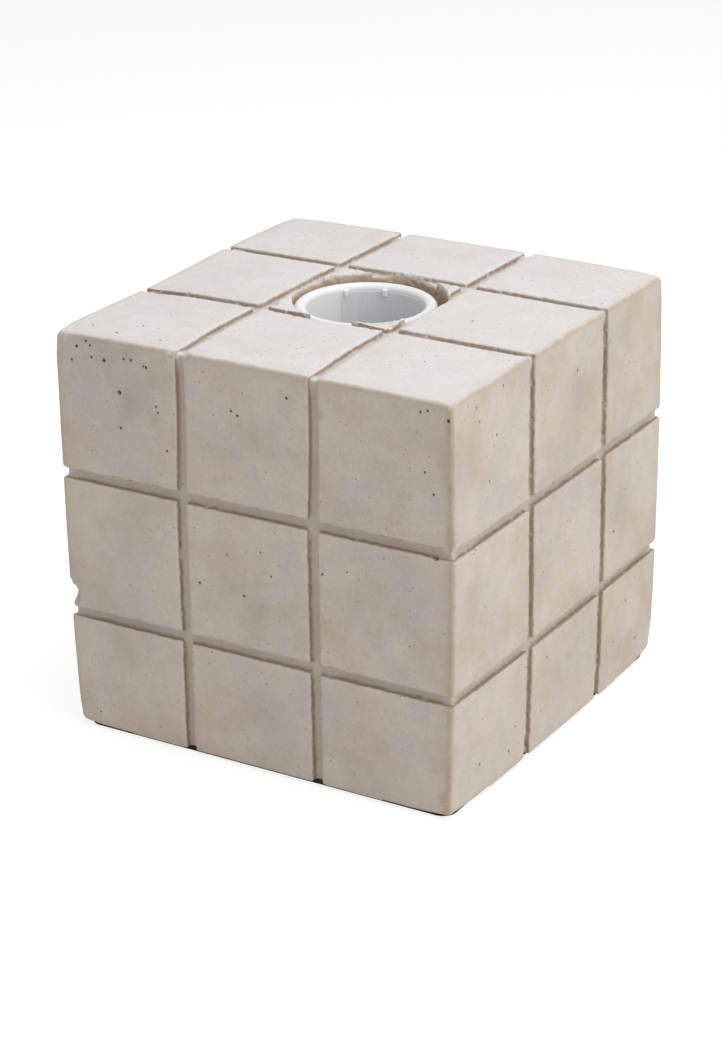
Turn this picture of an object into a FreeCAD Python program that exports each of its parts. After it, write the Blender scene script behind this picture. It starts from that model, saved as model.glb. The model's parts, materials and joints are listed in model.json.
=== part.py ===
import FreeCAD, Part
import Sketcher
import math
import os

# Cast concrete cube lamp: a 3 by 3 grooved block with a screw lampholder sunk in its top.
# Millimetres. +Z is up, the origin is the centre of the underside, -Y is the front.

os.makedirs("parts", exist_ok=True)
doc = FreeCAD.newDocument("CubeLamp")
sheet = doc.addObject("Spreadsheet::Sheet", "dims")

sizes = [
    # concrete block
    ("blockWidth", 120.0, "width and depth between the block's corners"),
    ("blockHeight", 115.8, "height of the block at its corners"),
    ("crownSide", 1.7, "how far the left and right faces swell at their middle"),
    ("crownFront", 0.5, "how far the front and rear faces swell at their middle"),
    ("crownTop", 0.8, "how far the top swells at its middle"),
    ("edgeChamfer", 1.3, "bevel along the upright and top edges"),
    ("grooveWidth", 2.8, "width of a cast groove"),
    ("grooveDepth", 1.8, "depth of a cast groove"),
    ("grooveLeft", -22.5, "left groove, from the middle"),
    ("grooveRight", 18.7, "right groove, from the middle"),
    ("grooveFront", -18.6, "front groove, from the middle"),
    ("grooveRear", 23.9, "rear groove, from the middle"),
    ("grooveLower", 35.0, "height of the lower level groove"),
    ("grooveUpper", 76.3, "height of the upper level groove"),
    ("pocketRadius", 21.5, "recess for the lampholder"),
    ("pocketShiftX", 0.9, "the cast recess sits off the lampholder's axis"),
    ("pocketShiftY", 0.8, "the same, towards the rear"),
    ("webThickness", 9.0, "concrete between the recess and the wiring cavity"),
    ("webHoleRadius", 5.5, "hole for the threaded tube"),
    ("cavityTopRadius", 24.0, "wiring cavity under the web"),
    ("cavityMouthRadius", 29.0, "wiring cavity at the underside"),
    # base pad
    ("padThickness", 1.5, "foam pad under the block"),
    ("padInset", 2.0, "pad edge inside the block's edge"),
    ("padCornerRadius", 4.0, "pad corners"),
    # lampholder shell and cap
    ("holderX", -1.9, "lampholder axis, in the middle of the grooves"),
    ("holderY", 2.7, "the same, towards the rear"),
    ("rimHeight", 115.9, "lampholder rim above the floor"),
    ("skirtRadius", 20.0, "outside of the shell"),
    ("mouthRadius", 16.5, "inside of the shell"),
    ("rimRadius", 1.6, "rounding of the rim"),
    ("skirtLength", 32.0, "shell above the cap"),
    ("neckLength", 8.0, "thread neck inside the cap"),
    ("neckRadius", 17.8, "outside of the thread neck"),
    ("threadGap", 0.1, "running gap between a thread and its mate"),
    ("lugAngle", 121.15, "direction of the middle of a lug pair, degrees"),
    ("lugSpreadAngle", 19.45, "each lug from the middle of its pair, degrees"),
    ("lugWidth", 1.4, "lug along the wall"),
    ("lugDepth", 0.8, "lug into the mouth"),
    ("lugLength", 2.2, "lug down the wall"),
    ("lugDrop", 1.2, "top of the lug below the rim"),
    ("domeRadius", 9.0, "rounding of the cap"),
    ("domeWall", 3.8, "wall of the cap beside the terminals"),
    ("capFloor", 2.0, "floor of the cap"),
    ("terminalSpace", 8.0, "height of the room for the terminals"),
    ("bossRadius", 8.5, "boss around the tube entry"),
    ("bossLength", 4.5, "boss below the cap"),
    ("lockScrewRadius", 1.5, "screw that locks the tube in the boss"),
    # insert with the contacts
    ("insertDrop", 14.4, "insert's top below the rim"),
    ("insertRadius", 16.2, "outside of the insert"),
    ("insertBoreGap", 0.2, "screw shell in the insert's bore"),
    ("flangeRadius", 17.5, "flange clamped between neck and cap"),
    ("flangeThickness", 3.5, "the same flange"),
    ("insertFloor", 6.6, "floor of the insert, over the terminals"),
    ("shellRadius", 13.25, "inside of the screw shell, at the thread's root"),
    ("shellWall", 0.3, "sheet of the screw shell"),
    ("shellDrop", 1.0, "shell's edge below the insert's top"),
    ("shellConeHeight", 3.3, "slope from the shell's floor to its wall"),
    ("shellFloorInset", 2.95, "flat floor of the shell inside its wall"),
    ("shellHoleRadius", 7.6, "hole in the shell's floor"),
    ("rivetCircle", 9.1, "shell rivets, from the axis"),
    ("rivetShank", 0.9, "rivet shank radius"),
    ("rivetHead", 1.3, "rivet head radius"),
    ("rivetHeadHeight", 0.7, "rivet head"),
    ("rivetGap", 0.05, "rivet in its hole"),
    # centre contact
    ("contactPivot", 5.6, "contact's rivet, from the axis"),
    ("contactWidth", 5.0, "width of the strip"),
    ("contactSheet", 0.5, "thickness of the strip"),
    ("contactPlay", 0.5, "strip above the floor and under its rivet"),
    ("contactFoot", 1.4, "foot each side of the rivet"),
    ("contactRise", 2.4, "crest above the foot"),
    ("contactCrest", 1.2, "half length of the crest"),
    ("contactTip", 4.5, "tip beyond the axis"),
    ("contactTipDrop", 0.5, "tip below the crest"),
    ("contactHoleRadius", 1.3, "hole for the rivet"),
    # terminals
    ("terminalInner", 4.4, "inner end of a terminal, from the axis"),
    ("terminalOuter", 12.8, "outer end of a terminal, from the axis"),
    ("terminalWidth", 6.0, "width of a terminal"),
    ("terminalHeight", 6.5, "height of a terminal"),
    ("rivetReach", 2.0, "rivet into a terminal, or through the floor"),
    ("wireBoreRadius", 1.25, "wire hole"),
    ("wireBoreDepth", 6.0, "wire hole, from the inner end"),
    ("wireBoreHeight", 2.7, "wire hole above the terminal's underside"),
    ("clampScrewAt", 8.0, "clamping screw, from the axis"),
    ("clampScrewRadius", 1.4, "clamping screw shank"),
    ("clampHeadRadius", 2.2, "clamping screw head"),
    ("clampHeadHeight", 1.1, "clamping screw head"),
    ("clampReach", 2.2, "clamping screw into the terminal"),
    ("slotWidth", 0.6, "screwdriver slots"),
    ("slotDepth", 0.5, "screwdriver slots"),
    # tube and fasteners
    ("tubeRadius", 5.0, "threaded tube, outside"),
    ("tubeBore", 3.6, "threaded tube, inside"),
    ("tubeAboveFloor", 1.2, "tube above the cap's floor"),
    ("tubeBelowNut", 1.9, "tube below the nut"),
    ("seatWasherRadius", 9.5, "fibre washer under the boss"),
    ("seatWasherThickness", 0.8, "fibre washer"),
    ("flatWasherRadius", 12.0, "steel washer under the web"),
    ("flatWasherThickness", 1.2, "steel washer"),
    ("washerGap", 0.3, "washers around the tube"),
    ("springWasherRadius", 8.0, "split washer"),
    ("springWasherThickness", 1.5, "split washer"),
    ("springWasherSplit", 1.0, "cut through the split washer"),
    ("nutAcross", 14.0, "hexagon nut across its flats"),
    ("nutThickness", 4.0, "hexagon nut"),
    ("nutCrown", 8.3, "radius of the sphere that trims the nut's corners"),
    ("bushBore", 2.9, "edge guard in the tube's lower end"),
    ("bushInsert", 3.5, "edge guard inside the tube"),
    ("bushFlange", 1.2, "edge guard's flange"),
    # cable outlet
    ("outletHeight", 15.0, "outlet above the floor"),
    ("outletRadius", 5.1, "outlet hole"),
    ("outletSeatRadius", 7.9, "recess for the grommet's flange"),
    ("outletSeatDepth", 1.7, "recess below the middle of the rear face"),
    ("grommetGap", 0.1, "grommet in its hole"),
    ("grommetLength", 10.0, "grommet inside the wall"),
    ("grommetFlangeRadius", 7.4, "grommet flange"),
    ("grommetFlange", 1.6, "grommet flange"),
    ("grommetBore", 3.3, "cable hole"),
    ("grommetRounding", 0.7, "rounded flange"),
    # blank label in the mouth
    ("labelStartAngle", 51.5, "right edge of the label, degrees"),
    ("labelSweepAngle", 94.5, "label around the wall, degrees"),
    ("labelDrop", 2.0, "label's top below the rim"),
    ("labelHeight", 11.0, "label down the wall"),
    ("labelThickness", 0.12, "label"),
    ("labelGap", 0.3, "label around the lugs"),
]
for row, (alias, size, meaning) in enumerate(sizes, start=1):
    sheet.set("A%d" % row, meaning)
    sheet.set("B%d" % row, str(size))
    sheet.setAlias("B%d" % row, alias)
doc.recompute()

# Levels and lengths that follow from the sizes, as expressions.
blockTop = "(dims.padThickness + dims.blockHeight)"
blockMiddle = "(dims.padThickness + dims.blockHeight / 2)"
rearFace = "(dims.blockWidth / 2 + dims.crownFront)"
neckTop = "(dims.rimHeight - dims.skirtLength)"
flangeTop = "(dims.rimHeight - dims.skirtLength - dims.neckLength)"
flangeBottom = "(%s - dims.flangeThickness)" % flangeTop
capFloorTop = "(%s - dims.terminalSpace)" % flangeBottom
capBottom = "(%s - dims.capFloor)" % capFloorTop
bossBottom = "(%s - dims.bossLength)" % capBottom
pocketFloor = "(%s - dims.seatWasherThickness)" % bossBottom
webBottom = "(%s - dims.webThickness)" % pocketFloor
flatWasherBottom = "(%s - dims.flatWasherThickness)" % webBottom
springWasherBottom = "(%s - dims.springWasherThickness)" % flatWasherBottom
nutBottom = "(%s - dims.nutThickness)" % springWasherBottom
tubeBottom = "(%s - dims.tubeBelowNut)" % nutBottom
tubeTop = "(%s + dims.tubeAboveFloor)" % capFloorTop
threadedHole = "(dims.tubeRadius + dims.threadGap / 2)"
insertTop = "(dims.rimHeight - dims.insertDrop)"
shellOutside = "(dims.shellRadius + dims.shellWall)"
shellFloorRadius = "(%s - dims.shellFloorInset)" % shellOutside
insertBore = "(%s + dims.insertBoreGap)" % shellOutside
insertFloorTop = "(%s + dims.insertFloor)" % flangeBottom
terminalBottom = "(%s - dims.terminalHeight)" % flangeBottom
footBottom = "(%s + dims.contactPlay)" % insertFloorTop
footTop = "(%s + dims.contactSheet)" % footBottom


def value(expression):
    return sheet.evalExpression(expression)


def bind(item, bindings):
    for name, expression in bindings.items():
        item.setExpression(name, expression)
    return item


def place(item, x="0", y="0", z="0"):
    return bind(item, {"Placement.Base.x": x, "Placement.Base.y": y, "Placement.Base.z": z})


def placeOnHolder(item, x="0", y="0", z="0"):
    return place(item, "dims.holderX + %s" % x, "dims.holderY + %s" % y, z)


def turn(item, axis, degrees):
    item.Placement = FreeCAD.Placement(FreeCAD.Vector(), FreeCAD.Rotation(FreeCAD.Vector(*axis), degrees))
    return item


def box(name, length, width, height):
    item = doc.addObject("Part::Box", name)
    return bind(item, {"Length": length, "Width": width, "Height": height})


def cylinder(name, radius, height):
    item = doc.addObject("Part::Cylinder", name)
    return bind(item, {"Radius": radius, "Height": height})


def join(kind, name, pieces):
    item = doc.addObject("Part::" + kind, name)
    item.Shapes = pieces
    return item


def cut(name, base, tool):
    item = doc.addObject("Part::Cut", name)
    item.Base = base
    item.Tool = tool
    return item


def group(name, pieces):
    item = doc.addObject("Part::Compound", name)
    item.Links = pieces
    return item


def tube(name, outer, inner, height):
    return cut(name, cylinder(name + "Outside", outer, height), cylinder(name + "Inside", inner, height))


def originPlane(body, role):
    return [feature for feature in body.Origin.OriginFeatures if feature.Role == role][0]


# A closed outline of straight lines, every corner held by two bound distances.
def outline(body, role, corners):
    sketch = body.newObject("Sketcher::SketchObject", body.Name + "Outline")
    sketch.AttachmentSupport = [(originPlane(body, role), "")]
    sketch.MapMode = "FlatFace"
    points = [FreeCAD.Vector(value(across), value(up), 0) for across, up in corners]
    following = points[1:] + points[:1]
    for start, end in zip(points, following):
        sketch.addGeometry(Part.LineSegment(start, end), False)
    for edge in range(len(points)):
        sketch.addConstraint(Sketcher.Constraint("Coincident", edge, 2, (edge + 1) % len(points), 1))
    for edge, distances in enumerate(corners):
        for direction, distance in zip("XY", distances):
            constraint = Sketcher.Constraint("Distance" + direction, -1, 1, edge, 1, value(distance))
            index = sketch.addConstraint(constraint)
            label = "corner%d%s" % (edge, direction)
            sketch.renameConstraint(index, label)
            sketch.setExpression("Constraints." + label, distance)
    return sketch


# A body turned around its own Z axis from an outline of (radius, height) corners.
def turned(name, corners):
    body = doc.addObject("PartDesign::Body", name)
    sketch = outline(body, "XZ_Plane", corners)
    revolution = body.newObject("PartDesign::Revolution", name + "Turn")
    revolution.Profile = sketch
    revolution.ReferenceAxis = (sketch, ["V_Axis"])
    revolution.Angle = 360.0
    doc.recompute()
    return body


# Outline corners of a rounded edge, drawn as flats. The signs point out of the material.
def roundedCorner(across, up, radius, outward, upward, flats):
    corners = []
    for step in range(flats + 1):
        angle = math.radians(90.0 * step / flats)
        inShare = outward * (1 - math.cos(angle))
        downShare = upward * (1 - math.sin(angle))
        cornerAcross = "%s - %.5f * %s" % (across, inShare, radius)
        cornerUp = "%s - %.5f * %s" % (up, downShare, radius)
        corners.append((cornerAcross, cornerUp))
    return corners


# Sphere segment that gives a face its crown. The seam is turned away from the face.
def crownSphere(name, crown, direction, inward):
    radius = "dims.blockWidth ^ 2 / (4 * %s)" % crown
    sphere = doc.addObject("Part::Sphere", name)
    side, front, up = direction
    if side:
        turn(sphere, (0, 0, 1), 90)
    if up:
        turn(sphere, (1, 0, 0), 90)
    reach = "(dims.blockWidth / 2 + %s - %s)" % (crown, radius)
    height = "(%s + %s - %s)" % (blockTop, crown, radius) if up else blockMiddle
    place(sphere, "%d * %s" % (side, reach), "%d * %s" % (front, reach), height)
    return bind(sphere, {"Radius": "%s - %s" % (radius, inward)})


# Crowned cube, or the same form drawn in by a distance on its five cast faces.
def crownedCube(name, inward, below):
    faces = [
        ("Right", "dims.crownSide", (1, 0, 0)),
        ("Left", "dims.crownSide", (-1, 0, 0)),
        ("Front", "dims.crownFront", (0, -1, 0)),
        ("Rear", "dims.crownFront", (0, 1, 0)),
        ("Top", "dims.crownTop", (0, 0, 1)),
    ]
    length = "dims.blockWidth + 4 * dims.crownSide"
    width = "dims.blockWidth + 4 * dims.crownFront"
    blank = box(name + "Blank", length, width, "dims.blockHeight + 2 * dims.crownTop + %s" % below)
    place(blank, "-(%s) / 2" % length, "-(%s) / 2" % width, "dims.padThickness - %s" % below)
    spheres = [crownSphere(name + face, crown, direction, inward) for face, crown, direction in faces]
    return join("MultiCommon", name, [blank] + spheres)


def makeConcreteBlock():
    cube = crownedCube("castCube", "0", "0")
    doc.recompute()
    body = doc.addObject("PartDesign::Body", "bevelledCube")
    body.BaseFeature = cube
    doc.recompute()
    middle = value(blockMiddle)
    # Every edge but the four around the underside reaches above the middle.
    raised = ["Edge%d" % number for number, edge in enumerate(body.Tip.Shape.Edges, start=1)
              if max(vertex.Z for vertex in edge.Vertexes) > middle]
    sharp = body.Tip
    chamfer = body.newObject("PartDesign::Chamfer", "bevelledEdges")
    chamfer.Base = (sharp, raised)
    chamfer.setExpression("Size", "dims.edgeChamfer")

    # The grooves are one slab per groove, less a core that lies under the cast faces.
    core = crownedCube("grooveCore", "dims.grooveDepth", "dims.grooveWidth")
    reach = "2 * dims.blockWidth"
    slabs = []
    for name, across in (("grooveLeft", "x"), ("grooveRight", "x"), ("grooveFront", "y"),
                         ("grooveRear", "y"), ("grooveLower", "z"), ("grooveUpper", "z")):
        start = "dims.%s - dims.grooveWidth / 2" % name
        size = {axis: "dims.grooveWidth" if axis == across else reach for axis in "xyz"}
        corner = {axis: start if axis == across else "-dims.blockWidth" for axis in "xyz"}
        slab = box(name, size["x"], size["y"], size["z"])
        slabs.append(place(slab, corner["x"], corner["y"], corner["z"]))
    grooves = cut("grooves", join("MultiFuse", "grooveSlabs", slabs), core)

    pocket = cylinder("pocket", "dims.pocketRadius", "%s + dims.crownTop * 2 - %s" % (blockTop, pocketFloor))
    placeOnHolder(pocket, "dims.pocketShiftX", "dims.pocketShiftY", pocketFloor)
    webHole = placeOnHolder(cylinder("webHole", "dims.webHoleRadius", blockTop))
    cavity = doc.addObject("Part::Cone", "cavity")
    bind(cavity, {"Radius1": "dims.cavityMouthRadius", "Radius2": "dims.cavityTopRadius",
                  "Height": "%s - dims.padThickness" % webBottom})
    placeOnHolder(cavity, z="dims.padThickness")
    outlet = turn(cylinder("outlet", "dims.outletRadius", "dims.blockWidth"), (1, 0, 0), -90)
    placeOnHolder(outlet, z="dims.outletHeight")
    seat = turn(cylinder("outletSeat", "dims.outletSeatRadius", "dims.blockWidth"), (1, 0, 0), -90)
    place(seat, "dims.holderX", "%s - dims.outletSeatDepth" % rearFace, "dims.outletHeight")
    openings = join("MultiFuse", "blockOpenings", [pocket, webHole, cavity, outlet, seat])
    return cut("concrete_block", cut("groovedCube", body, grooves), openings)


def makeBasePad():
    body = doc.addObject("PartDesign::Body", "base_pad")
    half = "(dims.blockWidth / 2 - dims.padInset)"
    square = [("-" + half, "-" + half), (half, "-" + half), (half, half), ("-" + half, half)]
    sketch = outline(body, "XY_Plane", square)
    pad = body.newObject("PartDesign::Pad", "padSheet")
    pad.Profile = sketch
    pad.setExpression("Length", "dims.padThickness")
    doc.recompute()
    corners = []
    for number, edge in enumerate(pad.Shape.Edges, start=1):
        if abs(edge.Vertexes[0].Z - edge.Vertexes[-1].Z) > value("dims.padThickness") / 2:
            corners.append("Edge%d" % number)
    fillet = body.newObject("PartDesign::Fillet", "padCorners")
    fillet.Base = (pad, corners)
    fillet.setExpression("Radius", "dims.padCornerRadius")
    return body


# One lug on the mouth's wall, or the clear space around it.
def lug(name, degrees, clearance):
    depth = "(2 * dims.lugDepth + %s)" % clearance
    width = "(dims.lugWidth + 2 * %s)" % clearance
    height = "(dims.lugLength + 2 * %s)" % clearance
    item = turn(box(name, depth, width, height), (0, 0, 1), 1)
    start = "(dims.mouthRadius - dims.lugDepth - %s)" % clearance
    placeOnHolder(
        item,
        "%s * cos(%s) + %s / 2 * sin(%s)" % (start, degrees, width, degrees),
        "%s * sin(%s) - %s / 2 * cos(%s)" % (start, degrees, width, degrees),
        "dims.rimHeight - dims.lugDrop - dims.lugLength - %s" % clearance,
    )
    item.setExpression("Placement.Rotation.Angle", degrees)
    return item


def lugDirections():
    first = "(dims.lugAngle - dims.lugSpreadAngle) * 1 deg"
    second = "(dims.lugAngle + dims.lugSpreadAngle) * 1 deg"
    return [first, second]


def makeHolderSkirt():
    rim = "dims.rimHeight"
    outerRim = roundedCorner("dims.skirtRadius", rim, "dims.rimRadius", 1, 1, 2)
    innerRim = roundedCorner("dims.mouthRadius", rim, "dims.rimRadius", -1, 1, 2)
    body = placeOnHolder(turned("skirtShell", [
        ("dims.mouthRadius", flangeTop),
        ("dims.neckRadius", flangeTop),
        ("dims.neckRadius", neckTop),
        ("dims.skirtRadius", neckTop),
    ] + outerRim + list(reversed(innerRim))))
    lugs = []
    for opposite in (0, 180):
        for number, degrees in enumerate(lugDirections()):
            direction = "(%s + %d deg)" % (degrees, opposite)
            lugs.append(lug("lug%d_%d" % (opposite, number), direction, "0"))
    return join("MultiFuse", "holder_skirt", [body] + lugs)


def makeHolderCap():
    innerRadius = "(dims.skirtRadius - dims.domeWall)"
    threadRadius = "(dims.neckRadius + dims.threadGap)"
    outside = roundedCorner("dims.skirtRadius", capBottom, "dims.domeRadius", 1, -1, 3)
    inside = roundedCorner(innerRadius, capFloorTop, "(dims.domeRadius - dims.domeWall)", 1, -1, 2)
    body = placeOnHolder(turned("capShell", [
        (threadedHole, bossBottom),
        ("dims.bossRadius", bossBottom),
        ("dims.bossRadius", capBottom),
    ] + list(reversed(outside)) + [
        ("dims.skirtRadius", neckTop),
        (threadRadius, neckTop),
        (threadRadius, flangeBottom),
        (innerRadius, flangeBottom),
    ] + inside + [
        (threadedHole, capFloorTop),
    ]))
    hole = turn(cylinder("lockScrewHole", "dims.lockScrewRadius + dims.rivetGap", "dims.bossRadius * 2"),
                (1, 0, 0), -90)
    placeOnHolder(hole, z="%s + dims.bossLength / 2" % bossBottom)
    return cut("holder_cap", body, hole)


# Positions of the shell's three rivets around the axis.
def rivetPlaces():
    return [("dims.rivetCircle * cos(%d deg)" % angle, "dims.rivetCircle * sin(%d deg)" % angle)
            for angle in (0, 120, 240)]


def makeContactCarrier():
    body = placeOnHolder(turned("carrierBlank", [
        ("0", flangeBottom),
        ("dims.flangeRadius", flangeBottom),
        ("dims.flangeRadius", flangeTop),
        ("dims.insertRadius", flangeTop),
        ("dims.insertRadius", insertTop),
        (insertBore, insertTop),
        (insertBore, insertFloorTop),
        ("0", insertFloorTop),
    ]))
    holes = []
    for number, (x, y) in enumerate(rivetPlaces() + [("-dims.contactPivot", "0")]):
        hole = cylinder("carrierHole%d" % number, "dims.rivetShank + dims.rivetGap", "2 * dims.insertFloor")
        holes.append(placeOnHolder(hole, x, y, "%s - dims.insertFloor / 2" % flangeBottom))
    return cut("contact_carrier", body, join("MultiFuse", "carrierHoles", holes))


def makeScrewShell():
    shellTop = "(%s - dims.shellDrop)" % insertTop
    wallFoot = "(%s + dims.shellConeHeight)" % insertFloorTop
    floorTop = "(%s + dims.shellWall)" % insertFloorTop
    body = placeOnHolder(turned("shellCup", [
        ("dims.shellHoleRadius", insertFloorTop),
        (shellFloorRadius, insertFloorTop),
        (shellOutside, wallFoot),
        (shellOutside, shellTop),
        ("dims.shellRadius", shellTop),
        ("dims.shellRadius", wallFoot),
        ("%s - dims.shellWall / 2" % shellFloorRadius, floorTop),
        ("dims.shellHoleRadius", floorTop),
    ]))
    holes = []
    for number, (x, y) in enumerate(rivetPlaces()):
        hole = cylinder("shellHole%d" % number, "dims.rivetShank + dims.rivetGap", "2 * dims.insertFloor")
        holes.append(placeOnHolder(hole, x, y, "%s - dims.insertFloor" % insertFloorTop))
    return cut("screw_shell", body, join("MultiFuse", "shellHoles", holes))


# Rivet with its head's underside at a level and its shank down to the reach in the terminals.
def rivet(name, x, y, underHead):
    foot = "(%s - dims.rivetReach)" % flangeBottom
    shank = cylinder(name + "Shank", "dims.rivetShank", "%s - %s" % (underHead, foot))
    head = cylinder(name + "Head", "dims.rivetHead", "dims.rivetHeadHeight")
    placeOnHolder(shank, x, y, foot)
    placeOnHolder(head, x, y, underHead)
    return join("MultiFuse", name, [shank, head])


def makeShellRivets():
    underHead = "(%s + dims.shellWall)" % insertFloorTop
    rivets = [rivet("shellRivet%d" % number, x, y, underHead)
              for number, (x, y) in enumerate(rivetPlaces())]
    return group("shell_rivets", rivets)


def makeContactRivet():
    return rivet("contact_rivet", "-dims.contactPivot", "0", "(%s + dims.contactPlay)" % footTop)


# Bent strip: a foot around its rivet, a slope up to the crest over the axis, and a falling tip.
def makeCentreContact():
    footStart = "(-dims.contactPivot - dims.contactFoot)"
    footEnd = "(-dims.contactPivot + dims.contactFoot)"
    crest = "(%s + dims.contactRise)" % footBottom
    tip = "(%s - dims.contactTipDrop)" % crest
    under = [(footStart, footBottom), (footEnd, footBottom), ("-dims.contactCrest", crest),
             ("dims.contactCrest", crest), ("dims.contactTip", tip)]
    over = [(x, "%s + dims.contactSheet" % level) for x, level in reversed(under)]
    body = doc.addObject("PartDesign::Body", "contactStrip")
    sketch = outline(body, "XZ_Plane", under + over)
    pad = body.newObject("PartDesign::Pad", "contactStripPad")
    pad.Profile = sketch
    pad.Midplane = True
    pad.setExpression("Length", "dims.contactWidth")
    placeOnHolder(body)
    hole = cylinder("contactHole", "dims.contactHoleRadius", "4 * dims.contactSheet")
    placeOnHolder(hole, "-dims.contactPivot", "0", "%s - dims.contactSheet" % footBottom)
    return cut("centre_contact", body, hole)


# Brass block under the insert. side is -1 on the left and 1 on the right.
def makeTerminal(name, side, rivetAt):
    length = "(dims.terminalOuter - dims.terminalInner)"
    block = box(name + "Block", length, "dims.terminalWidth", "dims.terminalHeight")
    nearEnd = "dims.terminalInner" if side > 0 else "-dims.terminalOuter"
    placeOnHolder(block, nearEnd, "-dims.terminalWidth / 2", terminalBottom)
    rivetHole = cylinder(name + "RivetHole", "dims.rivetShank + dims.rivetGap", "2 * dims.rivetReach")
    placeOnHolder(rivetHole, rivetAt, "0", "%s - dims.rivetReach" % flangeBottom)
    wireBore = turn(cylinder(name + "WireBore", "dims.wireBoreRadius", "2 * dims.wireBoreDepth"),
                    (0, 1, 0), 90)
    boreStart = "(%d * dims.terminalInner - dims.wireBoreDepth)" % side
    placeOnHolder(wireBore, boreStart, "0", "%s + dims.wireBoreHeight" % terminalBottom)
    screwHole = cylinder(name + "ScrewHole", "dims.clampScrewRadius + dims.rivetGap",
                         "dims.wireBoreHeight * 2")
    placeOnHolder(screwHole, "%d * dims.clampScrewAt" % side, "0",
                  "%s - dims.wireBoreHeight" % terminalBottom)
    return cut(name, block, join("MultiFuse", name + "Holes", [rivetHole, wireBore, screwHole]))


def makeTerminalScrews():
    screws = []
    for name, side in (("liveScrew", -1), ("neutralScrew", 1)):
        at = "%d * dims.clampScrewAt" % side
        headBottom = "(%s - dims.clampHeadHeight)" % terminalBottom
        shank = cylinder(name + "Shank", "dims.clampScrewRadius", "dims.clampReach")
        head = cylinder(name + "Head", "dims.clampHeadRadius", "dims.clampHeadHeight")
        slot = box(name + "Slot", "4 * dims.clampHeadRadius", "dims.slotWidth", "2 * dims.slotDepth")
        placeOnHolder(shank, at, "0", terminalBottom)
        placeOnHolder(head, at, "0", headBottom)
        placeOnHolder(slot, "%s - 2 * dims.clampHeadRadius" % at, "-dims.slotWidth / 2",
                      "%s - dims.slotDepth" % headBottom)
        screws.append(cut(name, join("MultiFuse", name + "Blank", [shank, head]), slot))
    return group("terminal_screws", screws)


def makeLockScrew():
    level = "%s + dims.bossLength / 2" % bossBottom
    shank = turn(cylinder("lockScrewShank", "dims.lockScrewRadius", "dims.bossRadius - %s" % threadedHole),
                 (1, 0, 0), -90)
    placeOnHolder(shank, "0", threadedHole, level)
    slot = box("lockScrewSlot", "4 * dims.lockScrewRadius", "2 * dims.slotDepth", "dims.slotWidth")
    placeOnHolder(slot, "-2 * dims.lockScrewRadius", "dims.bossRadius - dims.slotDepth",
                  "%s - dims.slotWidth / 2" % level)
    return cut("cap_lock_screw", shank, slot)


def makeTubeAndFasteners():
    washerHole = "dims.tubeRadius + dims.washerGap"
    seatWasher = tube("seat_washer", "dims.seatWasherRadius", washerHole, "dims.seatWasherThickness")
    placeOnHolder(seatWasher, z=pocketFloor)
    tubeLength = "%s - %s" % (tubeTop, tubeBottom)
    threadedTube = tube("threaded_tube", "dims.tubeRadius", "dims.tubeBore", tubeLength)
    placeOnHolder(threadedTube, z=tubeBottom)
    flatWasher = tube("flat_washer", "dims.flatWasherRadius", washerHole, "dims.flatWasherThickness")
    placeOnHolder(flatWasher, z=flatWasherBottom)
    ring = tube("springRing", "dims.springWasherRadius", washerHole, "dims.springWasherThickness")
    split = box("springSplit", "2 * dims.springWasherRadius", "dims.springWasherSplit",
                "2 * dims.springWasherThickness")
    place(split, "0", "-dims.springWasherSplit / 2", "-dims.springWasherThickness / 2")
    springWasher = placeOnHolder(cut("spring_washer", ring, split), z=springWasherBottom)
    prism = doc.addObject("Part::Prism", "nutPrism")
    prism.Polygon = 6
    bind(prism, {"Circumradius": "dims.nutAcross / 2 / cos(30 deg)", "Height": "dims.nutThickness"})
    trim = bind(doc.addObject("Part::Sphere", "nutTrim"), {"Radius": "dims.nutCrown"})
    place(trim, z="dims.nutThickness / 2")
    crowned = join("MultiCommon", "nutCrowned", [prism, trim])
    hexNut = cut("hex_nut", crowned, cylinder("nutThread", threadedHole, "dims.nutThickness"))
    placeOnHolder(hexNut, z=nutBottom)
    bushShank = "(dims.tubeBore - dims.threadGap / 2)"
    tubeBush = turned("tube_bush", [
        ("dims.bushBore", "%s - dims.bushFlange" % tubeBottom),
        ("dims.tubeRadius", "%s - dims.bushFlange" % tubeBottom),
        ("dims.tubeRadius", tubeBottom),
        (bushShank, tubeBottom),
        (bushShank, "%s + dims.bushInsert" % tubeBottom),
        ("dims.bushBore", "%s + dims.bushInsert" % tubeBottom),
    ])
    return [seatWasher, threadedTube, flatWasher, springWasher, hexNut, placeOnHolder(tubeBush)]


# Turned around Z with the flange on top, then laid along +Y.
def makeCableGrommet():
    shank = "(dims.outletRadius - dims.grommetGap)"
    lip = "dims.grommetFlange"
    outerLip = roundedCorner("dims.grommetFlangeRadius", lip, "dims.grommetRounding", 1, 1, 1)
    innerLip = roundedCorner("dims.grommetBore", lip, "dims.grommetRounding", -1, 1, 1)
    body = turned("cable_grommet", [
        ("dims.grommetBore", "-dims.grommetLength"),
        (shank, "-dims.grommetLength"),
        (shank, "0"),
        ("dims.grommetFlangeRadius", "0"),
    ] + outerLip + list(reversed(innerLip)))
    turn(body, (1, 0, 0), -90)
    return place(body, "dims.holderX", "%s - dims.outletSeatDepth" % rearFace, "dims.outletHeight")


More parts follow.
